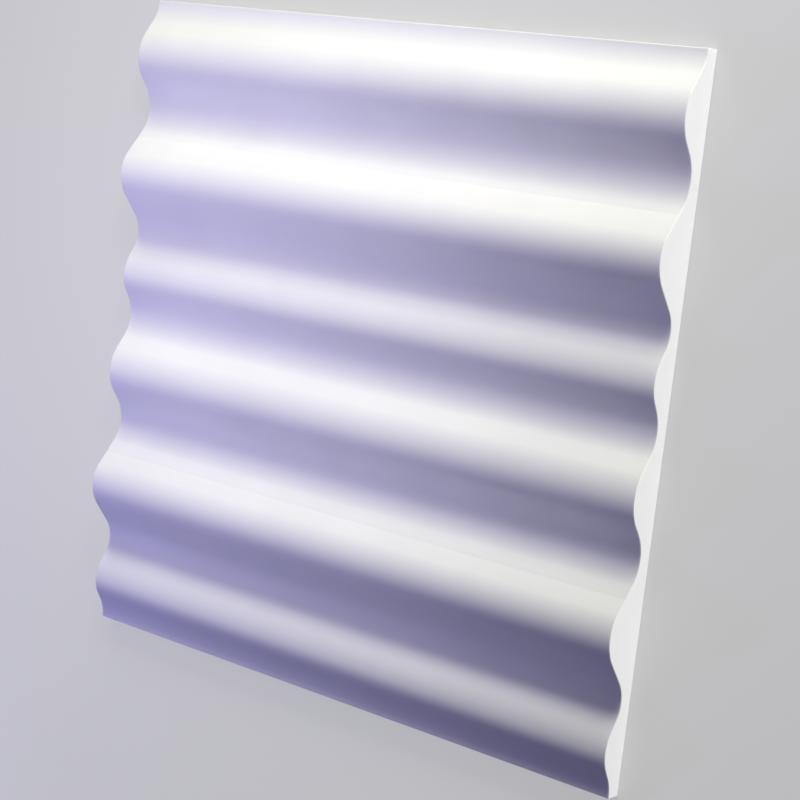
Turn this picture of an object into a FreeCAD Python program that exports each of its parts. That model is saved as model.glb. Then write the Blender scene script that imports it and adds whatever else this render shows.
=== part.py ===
import FreeCAD
import Part
import math
import os
from collections import namedtuple

# Wave-faced gypsum wall tile, cast in one piece.
# It lies on its flat back, which is the plane Z = 0, with the face up.
# The face is a set of three rounded waves: medium, tall and low, counted from the +Y edge.
# The set repeats along Y, and the ridges run straight along X from one side to the other.
# The +Y and -Y edges both fall in a trough, so butted tiles carry on the same section.
# Upper means towards +Y and lower towards -Y, as the tile hangs on a wall.

# Driving dimensions, in millimetres
TILE_WIDTH = 600.0
SETS_OF_WAVES = 2
TROUGH_THICKNESS = 12.5
ARRIS_RADIUS = 0.6

# A wave's length runs from trough to trough, and its crest drop is how far the crest lies below the middle
MEDIUM_LENGTH = 102.0
MEDIUM_THICKNESS = 33.0
MEDIUM_CREST_DROP = 1.0
MEDIUM_UPPER_CREST_RADIUS = 37.0
MEDIUM_LOWER_CREST_RADIUS = 35.0

TALL_LENGTH = 118.0
TALL_THICKNESS = 41.8
TALL_CREST_DROP = 1.5
TALL_UPPER_CREST_RADIUS = 31.0
TALL_LOWER_CREST_RADIUS = 34.0

LOW_LENGTH = 80.0
LOW_THICKNESS = 26.2
LOW_CREST_DROP = 0.0
LOW_UPPER_CREST_RADIUS = 35.0
LOW_LOWER_CREST_RADIUS = 28.5

# The trough above the medium wave is also the half trough at the tile's two edges
TROUGH_ABOVE_MEDIUM_RADIUS = 35.0
TROUGH_ABOVE_TALL_RADIUS = 34.0
TROUGH_ABOVE_LOW_RADIUS = 27.0

# The most of a half wave's room that its two arcs may take, so that a straight flank is always left
ARC_SHARE_LIMIT = 0.98

Wave = namedtuple("Wave", "length thickness crest_drop trough_radius upper_crest_radius lower_crest_radius")
WAVES = (
    Wave(
        MEDIUM_LENGTH,
        MEDIUM_THICKNESS,
        MEDIUM_CREST_DROP,
        TROUGH_ABOVE_MEDIUM_RADIUS,
        MEDIUM_UPPER_CREST_RADIUS,
        MEDIUM_LOWER_CREST_RADIUS,
    ),
    Wave(
        TALL_LENGTH,
        TALL_THICKNESS,
        TALL_CREST_DROP,
        TROUGH_ABOVE_TALL_RADIUS,
        TALL_UPPER_CREST_RADIUS,
        TALL_LOWER_CREST_RADIUS,
    ),
    Wave(
        LOW_LENGTH,
        LOW_THICKNESS,
        LOW_CREST_DROP,
        TROUGH_ABOVE_LOW_RADIUS,
        LOW_UPPER_CREST_RADIUS,
        LOW_LOWER_CREST_RADIUS,
    ),
)
TILE_HEIGHT = SETS_OF_WAVES * sum(wave.length for wave in WAVES)


def section_point(y, z):
    """A point of the section, on the plane of the tile's -X side."""
    return FreeCAD.Vector(-TILE_WIDTH / 2, y, z)


def fitted_radii(run, rise, trough_radius, crest_radius):
    """The two radii of a half wave, made smaller together where it has no room for both."""
    room = ARC_SHARE_LIMIT * (run**2 + rise**2) / (2 * rise)
    share = min(1.0, room / (trough_radius + crest_radius))
    return trough_radius * share, crest_radius * share


def flank_angle(run, rise, trough_radius, crest_radius):
    """Slope of the straight flank that is tangent to the trough's arc and to the crest's arc."""
    both = trough_radius + crest_radius
    drop = both - rise
    return math.asin(both / math.hypot(run, drop)) - math.atan2(drop, run)


def half_wave(trough_y, crest_y, thickness, trough_radius, crest_radius):
    """Edges from a trough's bottom to a crest's top: half the trough, a straight flank, half the crest."""
    run = abs(crest_y - trough_y)
    rise = thickness - TROUGH_THICKNESS
    trough_radius, crest_radius = fitted_radii(run, rise, trough_radius, crest_radius)
    angle = flank_angle(run, rise, trough_radius, crest_radius)
    way = math.copysign(1, crest_y - trough_y)

    def on_trough(turn):
        y = trough_y + way * trough_radius * math.sin(turn)
        return section_point(y, TROUGH_THICKNESS + trough_radius * (1 - math.cos(turn)))

    def on_crest(turn):
        y = crest_y - way * crest_radius * math.sin(turn)
        return section_point(y, thickness - crest_radius * (1 - math.cos(turn)))

    return [
        Part.Arc(on_trough(0), on_trough(angle / 2), on_trough(angle)).toShape(),
        Part.LineSegment(on_trough(angle), on_crest(angle)).toShape(),
        Part.Arc(on_crest(angle), on_crest(angle / 2), on_crest(0)).toShape(),
    ]


def face_edges():
    """The chain of waves that the face shows at a side, from the +Y edge down to the -Y edge."""
    edges = []
    upper_trough = TILE_HEIGHT / 2
    for number, wave in enumerate(WAVES * SETS_OF_WAVES):
        crest = upper_trough - wave.length / 2 - wave.crest_drop
        lower_trough = upper_trough - wave.length
        radius_below = WAVES[(number + 1) % len(WAVES)].trough_radius
        upper = half_wave(upper_trough, crest, wave.thickness, wave.trough_radius, wave.upper_crest_radius)
        lower = half_wave(lower_trough, crest, wave.thickness, radius_below, wave.lower_crest_radius)
        edges += upper + lower[::-1]
        upper_trough = lower_trough
    return edges


def section_face():
    """The tile's section: the chain of waves, closed by the two edges and the flat back."""
    corners = [
        section_point(-TILE_HEIGHT / 2, TROUGH_THICKNESS),
        section_point(-TILE_HEIGHT / 2, 0),
        section_point(TILE_HEIGHT / 2, 0),
        section_point(TILE_HEIGHT / 2, TROUGH_THICKNESS),
    ]
    back_edges = [Part.LineSegment(start, end).toShape() for start, end in zip(corners, corners[1:])]
    return Part.Face(Part.Wire(face_edges() + back_edges))


def is_mould_arris(edge):
    """True for an edge that a mould's inner corner forms: round the face, and down the four corners."""
    middle = edge.CenterOfMass
    on_side = math.isclose(abs(middle.x), TILE_WIDTH / 2)
    on_end = math.isclose(abs(middle.y), TILE_HEIGHT / 2)
    return (on_side or on_end) and middle.z > 0


def wave_panel():
    """The cast tile, with the sharp corners eased as they come out of the mould."""
    block = section_face().extrude(FreeCAD.Vector(TILE_WIDTH, 0, 0)).removeSplitter()
    return block.makeFillet(ARRIS_RADIUS, [edge for edge in block.Edges if is_mould_arris(edge)])


os.makedirs("parts", exist_ok=True)
panel = wave_panel()
panel.exportStep("parts/wave_panel.step")
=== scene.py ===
import math
from collections import namedtuple
import bmesh
import bpy
import numpy as np
from mathutils import Matrix, Vector


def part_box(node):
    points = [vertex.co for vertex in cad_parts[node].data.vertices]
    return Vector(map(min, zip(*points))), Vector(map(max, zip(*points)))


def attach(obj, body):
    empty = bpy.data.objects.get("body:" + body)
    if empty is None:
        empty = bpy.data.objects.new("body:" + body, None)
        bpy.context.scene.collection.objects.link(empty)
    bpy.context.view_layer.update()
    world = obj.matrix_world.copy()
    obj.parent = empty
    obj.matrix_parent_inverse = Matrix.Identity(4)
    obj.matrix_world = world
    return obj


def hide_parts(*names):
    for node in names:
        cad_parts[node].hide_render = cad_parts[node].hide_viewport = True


# A wave-faced wall tile, cast in one piece of white gypsum.
# It lies on its flat back, as it is stored, and the camera looks down on the face.
# X runs along the ridges, Y across them and Z out of the face. All sizes are in metres.
# Upper means towards +Y and lower towards -Y, as the tile hangs on a wall.

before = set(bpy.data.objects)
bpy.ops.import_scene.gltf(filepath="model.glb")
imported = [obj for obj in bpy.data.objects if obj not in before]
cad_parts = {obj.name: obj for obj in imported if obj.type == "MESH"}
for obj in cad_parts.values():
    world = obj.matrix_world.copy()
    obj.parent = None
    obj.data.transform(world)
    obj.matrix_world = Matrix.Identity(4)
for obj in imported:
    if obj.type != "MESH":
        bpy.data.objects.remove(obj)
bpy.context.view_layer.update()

NODE = "wave_panel"
PIECE = "cast_wave_tile"
BODY = "root"

# The section, with the sizes of the CAD part: a set of three waves, counted down from the upper edge
Wave = namedtuple("Wave", "length thickness crest_drop trough_radius upper_crest_radius lower_crest_radius")
MEDIUM = Wave(
    length=0.102,
    thickness=0.0330,
    crest_drop=0.0010,
    trough_radius=0.035,
    upper_crest_radius=0.037,
    lower_crest_radius=0.035,
)
TALL = Wave(
    length=0.118,
    thickness=0.0418,
    crest_drop=0.0015,
    trough_radius=0.034,
    upper_crest_radius=0.031,
    lower_crest_radius=0.034,
)
LOW = Wave(
    length=0.080,
    thickness=0.0262,
    crest_drop=0.0,
    trough_radius=0.027,
    upper_crest_radius=0.035,
    lower_crest_radius=0.0285,
)
WAVES = (MEDIUM, TALL, LOW)
SETS_OF_WAVES = 2
TROUGH_THICKNESS = 0.0125
ARRIS_RADIUS = 0.0006

# A faint fold along the upper flank of each tall wave, left by the mould, with a place for each set
FOLDS_BELOW_TROUGH = (0.0260, 0.0305)
FOLD_DEPTH = 0.00060
FOLD_UPPER_REACH = 0.010
FOLD_LOWER_REACH = 0.014

# The back was struck off flat when the mould was full, which left shallow hollows along the stroke
STROKE_DEPTH = 0.00020
STROKE_SPACING = 0.037
STROKE_BEND = 0.9
STROKE_BEND_LENGTH = 0.41
FLAT_RIM = 0.012

# Steps of the mesh
SECTION_STEP = 0.0010
COLUMNS = 40
ARRIS_STEPS = 4
WEAR_WIDTH = 0.0015
WELD_REACH = 1e-7

# Which material each face takes, and the mark on the arrises for chalky wear and a painted highlight
FACE, EDGE, BACK = range(3)
WEAR_AND_HIGHLIGHT = "arris"

# Gypsum: the detail of one surface, and then what all its surfaces share, with the range of values
# that soft noise mostly takes
Grain = namedtuple("Grain", "size depth swell_size swell_depth cloud_size")
Holes = namedtuple("Holes", "spacing radius share depth")
# The arrises take a lighter, chalkier colour: partly rubbed wear, partly a painted highlight along the
# edges
CHALK_AND_EDGE_HIGHLIGHT = (0.89, 0.89, 0.885)
CHALK_AND_EDGE_HIGHLIGHT_SHARE = 0.5
CHALK_ROUGHNESS = 0.1
# Pinholes take a darker colour: painted shade inside the holes
HOLE_PAINTED_SHADE = (0.55, 0.54, 0.53)
HOLE_PAINTED_SHADE_SHARE = 0.5
HOLE_FLOOR_SHARE = 0.5
NOISE_LOW = 0.3
NOISE_HIGH = 0.7
CLOUD_DETAIL = 4.0
GRAIN_DETAIL = 3.0
SWELL_DETAIL = 1.0

# Scale of the noise along X, Y and Z: the same all round, or drawn out along the stroke
EVEN_SCALE = (1, 1, 1)
STREAK_SCALE = (0.18, 1, 1)

# Sockets of the colour mix node, which shares their names with sockets of other kinds
MIX_SHARE, MIX_FIRST, MIX_SECOND = 0, 6, 7
MIX_RESULT = 2

# Camera: the photograph's view of the face
CAMERA_PLACE = (1.1127, 0.2428, 1.3713)
CAMERA_AIM = (0.04697, -0.01901, 0.0200)
CAMERA_UP = (-0.1814, 0.9823, -0.0472)
CAMERA_LENS_MM = 91.27
SENSOR_MM = 36.0

# Studio: a wide key lamp above the upper edge, a small one nearer to it, a soft fill over the face,
# a cool lamp at the lower left and a far one for the right side
Lamp = namedtuple("Lamp", "name place aim size power colour")
LAMPS = (
    Lamp("key", (0, 3.42, 1.11), (0, 0, 0), (2.3, 1.25), 85.0, (0.97, 1.0, 0.73)),
    Lamp("top", (0.3, 0.9, 0.5), (0, 0.1, 0), (0.2, 0.2), 3.6, (0.87, 0.84, 1.0)),
    Lamp("fill", (-0.2, 0.1, 0.35), (-0.2, 0.11, 0), (0.6, 0.6), 1.05, (0.80, 0.75, 1.0)),
    Lamp("cool", (-1.2, -0.6, 0.6), (0, 0, 0), (0.2, 0.2), 7.2, (0.37, 0.345, 1.0)),
    Lamp("side", (20.0, 0.0, 0.2), (0.3, 0.0, 0.02), (1.0, 0.4), 2955.0, (0.985, 0.985, 1.0)),
)
SKY_LIGHT = (0.80, 0.78, 1.0)
SKY_STRENGTH = 0.005

# Background, and the floor that turns into it farther out
PALE = (0.66, 0.66, 0.67)
FLOOR_COLOUR = (0.74, 0.735, 0.73)
FLOOR_ROUGHNESS = 0.9
FLOOR_SHINE = 0.2
FLOOR_REACH = 12.0
FLOOR_DROP = 0.0002
FLOOR_BOUNCE = (0.60, 0.60, 0.60)
FLOOR_GLOW = 0.65
FLOOR_FADE_START = 0.6
FLOOR_FADE_END = 2.6


def half_wave_height(along, run, rise, trough_radius, crest_radius):
    """Height over the trough's bottom at a distance from it: trough arc, straight flank, crest arc."""
    both = trough_radius + crest_radius
    drop = both - rise
    angle = math.asin(both / math.hypot(run, drop)) - math.atan2(drop, run)
    trough_end = trough_radius * math.sin(angle)
    crest_start = run - crest_radius * math.sin(angle)
    on_trough = trough_radius - np.sqrt(np.maximum(trough_radius**2 - along**2, 0))
    on_flank = trough_radius * (1 - math.cos(angle)) + (along - trough_end) * math.tan(angle)
    on_crest = rise - crest_radius + np.sqrt(np.maximum(crest_radius**2 - (run - along) ** 2, 0))
    return np.where(along < trough_end, on_trough, np.where(along < crest_start, on_flank, on_crest))


def fold_depth(below_trough, fold_below_trough):
    """Depth of the mould's fold at a distance below the tall wave's upper trough."""
    offset = below_trough - fold_below_trough
    reach = np.where(offset < 0, FOLD_UPPER_REACH, FOLD_LOWER_REACH)
    return FOLD_DEPTH * np.clip(1 - np.abs(offset) / reach, 0, 1) ** 2


def wave_tops(half_height):
    """Each wave's set, its place in the set and the Y of its upper trough, from the upper edge down."""
    top = half_height
    for set_number in range(SETS_OF_WAVES):
        for place, wave in enumerate(WAVES):
            yield set_number, place, top
            top -= wave.length


def face_height(y, half_height):
    """Thickness of the tile at each Y."""
    height = np.full_like(y, TROUGH_THICKNESS)
    for set_number, place, top in wave_tops(half_height):
        wave = WAVES[place]
        radius_below = WAVES[(place + 1) % len(WAVES)].trough_radius
        upper_run = wave.length / 2 + wave.crest_drop
        lower_run = wave.length - upper_run
        rise = wave.thickness - TROUGH_THICKNESS
        down = top - y
        upper = half_wave_height(down, upper_run, rise, wave.trough_radius, wave.upper_crest_radius)
        lower = half_wave_height(wave.length - down, lower_run, rise, radius_below, wave.lower_crest_radius)
        shape = np.where(down < upper_run, upper, lower)
        if wave is TALL:
            shape -= fold_depth(down, FOLDS_BELOW_TROUGH[set_number])
        inside = (down >= 0) & (down <= wave.length)
        height = np.where(inside, TROUGH_THICKNESS + shape, height)
    return height


def face_samples(half_height):
    """Y values along the face, evenly spaced, with the folds' own lines among them."""
    inner = half_height - ARRIS_RADIUS
    even = np.linspace(-inner, inner, round(2 * inner / SECTION_STEP) + 1)
    folds = [
        top - FOLDS_BELOW_TROUGH[set_number]
        for set_number, place, top in wave_tops(half_height)
        if WAVES[place] is TALL
    ]
    return np.unique(np.concatenate([even, folds]))


def front_chain(half_height):
    """The section from the back's lower corner over the face to its upper one: places and outward normals.

    The number given with it is that of the points at each end, which belong to the edge and its arris.
    """
    y = face_samples(half_height)
    z = face_height(y, half_height)
    slope = np.gradient(z, y)
    face = np.stack([y, z, -slope / np.hypot(slope, 1), 1 / np.hypot(slope, 1)], axis=1)

    turns = np.linspace(0, math.pi / 2, ARRIS_STEPS, endpoint=False)
    corner = [[half_height, 0.0, 1.0, 0.0]]
    arris = [
        [
            half_height - ARRIS_RADIUS * (1 - math.cos(turn)),
            TROUGH_THICKNESS - ARRIS_RADIUS * (1 - math.sin(turn)),
            math.cos(turn),
            math.sin(turn),
        ]
        for turn in turns
    ]
    upper_end = np.array(corner + arris)
    lower_end = upper_end * (-1, 1, -1, 1)
    return np.concatenate([lower_end, face, upper_end[::-1]]), len(upper_end)


def ring_places(half_width):
    """The X of each ring of the mesh, and how far the arris draws it in from the full section."""
    turns = np.linspace(0, math.pi / 2, ARRIS_STEPS + 1)
    arris_x = half_width - ARRIS_RADIUS + ARRIS_RADIUS * np.sin(turns)
    arris_inset = ARRIS_RADIUS * (1 - np.cos(turns))
    flat_end = arris_x[0] - WEAR_WIDTH
    flat_x = np.linspace(-flat_end, flat_end, COLUMNS + 1)
    places = np.concatenate([-arris_x[::-1], flat_x, arris_x])
    insets = np.concatenate([arris_inset[::-1], np.zeros(len(flat_x)), arris_inset])
    return places, insets


def back_height(x, y, half_width, half_height):
    """Shallow hollows of the struck-off back, which fade to a flat rim."""
    wander = STROKE_BEND * np.sin(math.tau * x / STROKE_BEND_LENGTH)
    stroke = 0.5 + 0.5 * np.sin(math.tau * y / STROKE_SPACING + wander)
    to_rim = np.minimum(half_width - np.abs(x), half_height - np.abs(y))
    return STROKE_DEPTH * stroke * np.clip(to_rim / FLAT_RIM, 0, 1)


def tile_points(chain, edge_count, half_width, half_height):
    """Points of all the rings along X, which of them lie on an arris, and the number of rings.

    A ring goes over the front and then back along points that lie under those of the face.
    """
    front_count = len(chain)
    back_count = front_count - 2 * edge_count
    on_end_arris = np.zeros(front_count + back_count)
    on_end_arris[1:edge_count] = 1
    on_end_arris[front_count - edge_count:front_count - 1] = 1

    points = []
    wear_and_highlight_values = []
    places, insets = ring_places(half_width)
    for ring, (x, inset) in enumerate(zip(places, insets)):
        front = chain[:, :2] - inset * chain[:, 2:]
        back_y = front[edge_count:front_count - edge_count, 0][::-1]
        back_z = back_height(x, back_y, half_width, half_height)
        section = np.concatenate([front, np.stack([back_y, back_z], axis=1)])
        points.append(np.insert(section, 0, x, axis=1))
        on_side_arris = min(ring, len(places) - 1 - ring) <= ARRIS_STEPS
        wear_and_highlight_values.append(np.maximum(on_end_arris, on_side_arris))
    return np.concatenate(points), np.concatenate(wear_and_highlight_values), len(places)


def strip_faces(rings, front_count, ring_size):
    """Corner numbers and material of the faces between neighbouring rings."""
    faces = []
    kinds = []
    for ring in range(rings - 1):
        here = ring * ring_size
        there = here + ring_size
        for i in range(ring_size):
            j = (i + 1) % ring_size
            faces.append((here + i, there + i, there + j, here + j))
            if i >= front_count - 1:
                kinds.append(BACK)
            elif i in (0, front_count - 2):
                kinds.append(EDGE)
            else:
                kinds.append(FACE)
    return faces, kinds


def side_faces(start, front_count, ring_size, edge_count):
    """Corner numbers of the faces that close the ring which starts at a number, as seen from +X."""
    chain = list(range(start, start + front_count))
    lower_end = chain[:edge_count]
    upper_end = chain[front_count - edge_count:]
    face = chain[edge_count:front_count - edge_count]
    back = list(range(start + ring_size - 1, start + front_count - 1, -1))
    side = [[back[i], back[i + 1], face[i + 1], face[i]] for i in range(len(back) - 1)]
    side.append([lower_end[0], back[0], face[0], *lower_end[:0:-1]])
    side.append([back[-1], *upper_end[::-1], face[-1]])
    return side


def tile_faces(rings, front_count, edge_count):
    """Corner numbers and material of each face: strips between the rings, and the two flat sides."""
    ring_size = 2 * (front_count - edge_count)
    faces, kinds = strip_faces(rings, front_count, ring_size)
    left_side = side_faces(0, front_count, ring_size, edge_count)
    right_side = side_faces((rings - 1) * ring_size, front_count, ring_size, edge_count)
    faces += [tuple(reversed(corners)) for corners in left_side]
    faces += [tuple(corners) for corners in right_side]
    kinds += [EDGE] * (len(left_side) + len(right_side))
    return faces, np.array(kinds)


def weld(mesh):
    """Joins the points that meet at the four corners of the face, where the arrises shrink to nothing."""
    work = bmesh.new()
    work.from_mesh(mesh)
    bmesh.ops.remove_doubles(work, verts=work.verts, dist=WELD_REACH)
    work.to_mesh(mesh)
    work.free()
    mesh.update()


def build_tile():
    """The cast tile as one closed mesh: rings round the section along X, closed by the two flat sides."""
    low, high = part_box(NODE)
    half_width = (high.x - low.x) / 2
    half_height = (high.y - low.y) / 2
    chain, edge_count = front_chain(half_height)
    points, wear_and_highlight_values, rings = tile_points(chain, edge_count, half_width, half_height)
    faces, kinds = tile_faces(rings, len(chain), edge_count)

    mesh = bpy.data.meshes.new(PIECE)
    mesh.from_pydata(points.tolist(), [], faces)
    mesh.polygons.foreach_set("use_smooth", kinds == FACE)
    mesh.polygons.foreach_set("material_index", kinds)
    wear_and_highlight = mesh.attributes.new(WEAR_AND_HIGHLIGHT, "FLOAT", "POINT")
    wear_and_highlight.data.foreach_set("value", wear_and_highlight_values)
    weld(mesh)
    for material in (gypsum_face(), gypsum_edge(), gypsum_back()):
        mesh.materials.append(material)

    tile = bpy.data.objects.new(PIECE, mesh)
    bpy.context.scene.collection.objects.link(tile)
    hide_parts(NODE)
    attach(tile, BODY)


def add_node(tree, kind, inputs, **settings):
    """A shader node with its settings, and its inputs given as values or as other nodes' outputs."""
    node = tree.nodes.new(kind)
    for name, value in settings.items():
        setattr(node, name, value)
    for name, value in inputs.items():
        if isinstance(value, bpy.types.NodeSocket):
            tree.links.new(value, node.inputs[name])
        else:
            node.inputs[name].default_value = value
    return node


def math_node(tree, operation, *values):
    """The output of a math node, used for heights and masks."""
    return add_node(tree, "ShaderNodeMath", dict(enumerate(values)), operation=operation).outputs[0]


def blend(tree, share, first, second):
    """A colour between two, by a share."""
    inputs = {MIX_SHARE: share, MIX_FIRST: first, MIX_SECOND: second}
    return add_node(tree, "ShaderNodeMix", inputs, data_type="RGBA").outputs[MIX_RESULT]


def span(tree, value, low, high, to_low, to_high):
    """A value brought from one range to another and held inside it."""
    inputs = {"Value": value, "From Min": low, "From Max": high, "To Min": to_low, "To Max": to_high}
    return add_node(tree, "ShaderNodeMapRange", inputs).outputs[0]


def noise(tree, place, size, detail):
    """Soft noise, with features of about the given size."""
    inputs = {"Vector": place, "Scale": 1 / size, "Detail": detail}
    return add_node(tree, "ShaderNodeTexNoise", inputs).outputs[0]


def pinholes(tree, place, holes):
    """A mask of small round air holes: one in some of the cells of a loose grid."""
    cells = add_node(tree, "ShaderNodeTexVoronoi", {"Vector": place, "Scale": 1 / holes.spacing})
    rim = holes.radius / holes.spacing
    near = span(tree, cells.outputs["Distance"], HOLE_FLOOR_SHARE * rim, rim, 1.0, 0.0)
    pick = add_node(tree, "ShaderNodeSeparateColor", {"Color": cells.outputs["Color"]}).outputs["Red"]
    return math_node(tree, "MULTIPLY", near, math_node(tree, "LESS_THAN", pick, holes.share))


def gypsum(name, shade, tint, roughness, grain, holes, scale=EVEN_SCALE):
    """White cast gypsum: faint clouds of colour, uneven gloss, fine grain, pinholes darkened with painted
    shade, and arrises lightened with chalky wear and a painted highlight.
    """
    material = bpy.data.materials.new(name)
    material.use_nodes = True
    tree = material.node_tree
    shader = tree.nodes["Principled BSDF"]
    place = add_node(tree, "ShaderNodeTexCoord", {}).outputs["Object"]
    drawn = add_node(tree, "ShaderNodeMapping", {"Vector": place, "Scale": scale}).outputs[0]
    clouds = noise(tree, drawn, grain.cloud_size, CLOUD_DETAIL)
    fine = noise(tree, drawn, grain.size, GRAIN_DETAIL)
    swell = noise(tree, drawn, grain.swell_size, SWELL_DETAIL)
    hole = pinholes(tree, place, holes)
    wear_and_highlight = add_node(tree, "ShaderNodeAttribute", {}, attribute_name=WEAR_AND_HIGHLIGHT).outputs["Fac"]

    cloud_share = span(tree, clouds, NOISE_LOW, NOISE_HIGH, 0.0, 1.0)
    # Arrises: a lighter chalky colour, partly rubbed wear and partly a painted highlight
    chalk_and_highlight_share = math_node(tree, "MULTIPLY", wear_and_highlight, CHALK_AND_EDGE_HIGHLIGHT_SHARE)
    # Pinholes: a darker colour, painted shade inside the holes
    hole_painted_shade_share = math_node(tree, "MULTIPLY", hole, HOLE_PAINTED_SHADE_SHARE)
    colour = blend(tree, cloud_share, (*shade, 1), (*tint, 1))
    colour = blend(tree, chalk_and_highlight_share, colour, (*CHALK_AND_EDGE_HIGHLIGHT, 1))
    colour = blend(tree, hole_painted_shade_share, colour, (*HOLE_PAINTED_SHADE, 1))
    tree.links.new(colour, shader.inputs["Base Color"])

    rough = span(tree, fine, NOISE_LOW, NOISE_HIGH, *roughness)
    rough = math_node(tree, "MULTIPLY_ADD", wear_and_highlight, CHALK_ROUGHNESS, rough)
    tree.links.new(rough, shader.inputs["Roughness"])

    height = math_node(tree, "MULTIPLY", fine, grain.depth)
    height = math_node(tree, "MULTIPLY_ADD", swell, grain.swell_depth, height)
    height = math_node(tree, "MULTIPLY_ADD", hole, -holes.depth, height)
    bump = add_node(tree, "ShaderNodeBump", {"Height": height, "Strength": 1.0, "Distance": 1.0})
    tree.links.new(bump.outputs[0], shader.inputs["Normal"])
    return material


def gypsum_face():
    """The moulded face: smooth, matte and almost without holes."""
    return gypsum(
        "gypsum_face",
        shade=(0.845, 0.845, 0.85),
        tint=(0.885, 0.885, 0.885),
        roughness=(0.66, 0.76),
        grain=Grain(size=0.0012, depth=0.000006, swell_size=0.018, swell_depth=0.00004, cloud_size=0.09),
        holes=Holes(spacing=0.016, radius=0.00035, share=0.10, depth=0.0002),
    )


def gypsum_edge():
    """The four edges: cast against the mould's wall, a little less matte, with more air holes."""
    return gypsum(
        "gypsum_edge",
        shade=(0.835, 0.835, 0.835),
        tint=(0.88, 0.88, 0.875),
        roughness=(0.55, 0.68),
        grain=Grain(size=0.0016, depth=0.000012, swell_size=0.011, swell_depth=0.00004, cloud_size=0.05),
        holes=Holes(spacing=0.006, radius=0.00040, share=0.16, depth=0.0003),
    )


def gypsum_back():
    """The struck-off back: dull and grainy, with streaks along the stroke."""
    return gypsum(
        "gypsum_back",
        shade=(0.74, 0.735, 0.72),
        tint=(0.82, 0.815, 0.80),
        roughness=(0.72, 0.88),
        grain=Grain(size=0.0030, depth=0.000050, swell_size=0.012, swell_depth=0.00012, cloud_size=0.05),
        holes=Holes(spacing=0.009, radius=0.0009, share=0.35, depth=0.0006),
        scale=STREAK_SCALE,
    )


def seen_directly(tree):
    """1 where the background is seen, straight on, mirrored or through glass, and 0 where it lights."""
    path = add_node(tree, "ShaderNodeLightPath", {})
    either = math_node(tree, "MAXIMUM", path.outputs["Is Camera Ray"], path.outputs["Is Glossy Ray"])
    return math_node(tree, "MAXIMUM", either, path.outputs["Is Transmission Ray"])


def floor_material():
    """Matte and pale, with some of the background's glow where it is seen and none where it lights."""
    material = bpy.data.materials.new("floor")
    material.use_nodes = True
    tree = material.node_tree
    shader = tree.nodes["Principled BSDF"]
    shader.inputs["Base Color"].default_value = (*FLOOR_COLOUR, 1)
    shader.inputs["Roughness"].default_value = FLOOR_ROUGHNESS
    shader.inputs["Specular IOR Level"].default_value = FLOOR_SHINE
    place = add_node(tree, "ShaderNodeTexCoord", {}).outputs["Object"]
    away = add_node(tree, "ShaderNodeVectorMath", {0: place}, operation="LENGTH").outputs["Value"]
    share = span(tree, away, FLOOR_FADE_START, FLOOR_FADE_END, FLOOR_GLOW, 1.0)
    glow = add_node(tree, "ShaderNodeEmission", {"Color": (*PALE, 1), "Strength": 1.0}).outputs[0]
    seen = add_node(tree, "ShaderNodeMixShader", {0: share, 1: shader.outputs[0], 2: glow}).outputs[0]
    bounce = add_node(tree, "ShaderNodeBsdfDiffuse", {"Color": (*FLOOR_BOUNCE, 1)}).outputs[0]
    mix = add_node(tree, "ShaderNodeMixShader", {0: seen_directly(tree), 1: bounce, 2: seen}).outputs[0]
    tree.links.new(mix, tree.nodes["Material Output"].inputs["Surface"])
    return material


def build_floor():
    """A plain pale floor round the tile, which turns into the pale background farther out."""
    signs = ((-1, -1), (1, -1), (1, 1), (-1, 1))
    corners = [(x * FLOOR_REACH, y * FLOOR_REACH, -FLOOR_DROP) for x, y in signs]
    mesh = bpy.data.meshes.new("floor")
    mesh.from_pydata(corners, [], [(0, 1, 2, 3)])
    mesh.materials.append(floor_material())
    floor = bpy.data.objects.new("floor", mesh)
    bpy.context.scene.collection.objects.link(floor)


def build_world():
    """A weak cool light from all round, and a pale background where it is seen."""
    world = bpy.data.worlds.new("studio")
    world.use_nodes = True
    tree = world.node_tree
    light = tree.nodes["Background"]
    light.inputs["Color"].default_value = (*SKY_LIGHT, 1)
    light.inputs["Strength"].default_value = SKY_STRENGTH
    pale = add_node(tree, "ShaderNodeBackground", {"Color": (*PALE, 1), "Strength": 1.0}).outputs[0]
    mix = add_node(tree, "ShaderNodeMixShader", {0: seen_directly(tree), 1: light.outputs[0], 2: pale})
    tree.links.new(mix.outputs[0], tree.nodes["World Output"].inputs["Surface"])
    bpy.context.scene.world = world


def build_camera():
    """The photograph's camera, with the tile's upper edge at the top of the picture."""
    data = bpy.data.cameras.new("camera")
    data.sensor_width = SENSOR_MM
    data.lens = CAMERA_LENS_MM
    back = (Vector(CAMERA_PLACE) - Vector(CAMERA_AIM)).normalized()
    right = Vector(CAMERA_UP).cross(back).normalized()
    turn = Matrix((right, back.cross(right), back)).transposed()
    camera = bpy.data.objects.new("camera", data)
    camera.matrix_world = Matrix.Translation(CAMERA_PLACE) @ turn.to_4x4()
    bpy.context.scene.collection.objects.link(camera)
    bpy.context.scene.camera = camera


def build_lamp(lamp):
    """A soft rectangular lamp that the camera doesn't see."""
    data = bpy.data.lights.new(lamp.name, "AREA")
    data.shape = "RECTANGLE"
    data.size, data.size_y = lamp.size
    data.energy = lamp.power
    data.color = lamp.colour
    turn = (Vector(lamp.aim) - Vector(lamp.place)).to_track_quat("-Z", "Y")
    light = bpy.data.objects.new(lamp.name, data)
    light.matrix_world = Matrix.Translation(lamp.place) @ turn.to_matrix().to_4x4()
    light.visible_camera = False
    bpy.context.scene.collection.objects.link(light)


build_tile()
build_floor()
build_world()
build_camera()
for lamp in LAMPS:
    build_lamp(lamp)
bpy.context.scene.view_settings.view_transform = "Standard"
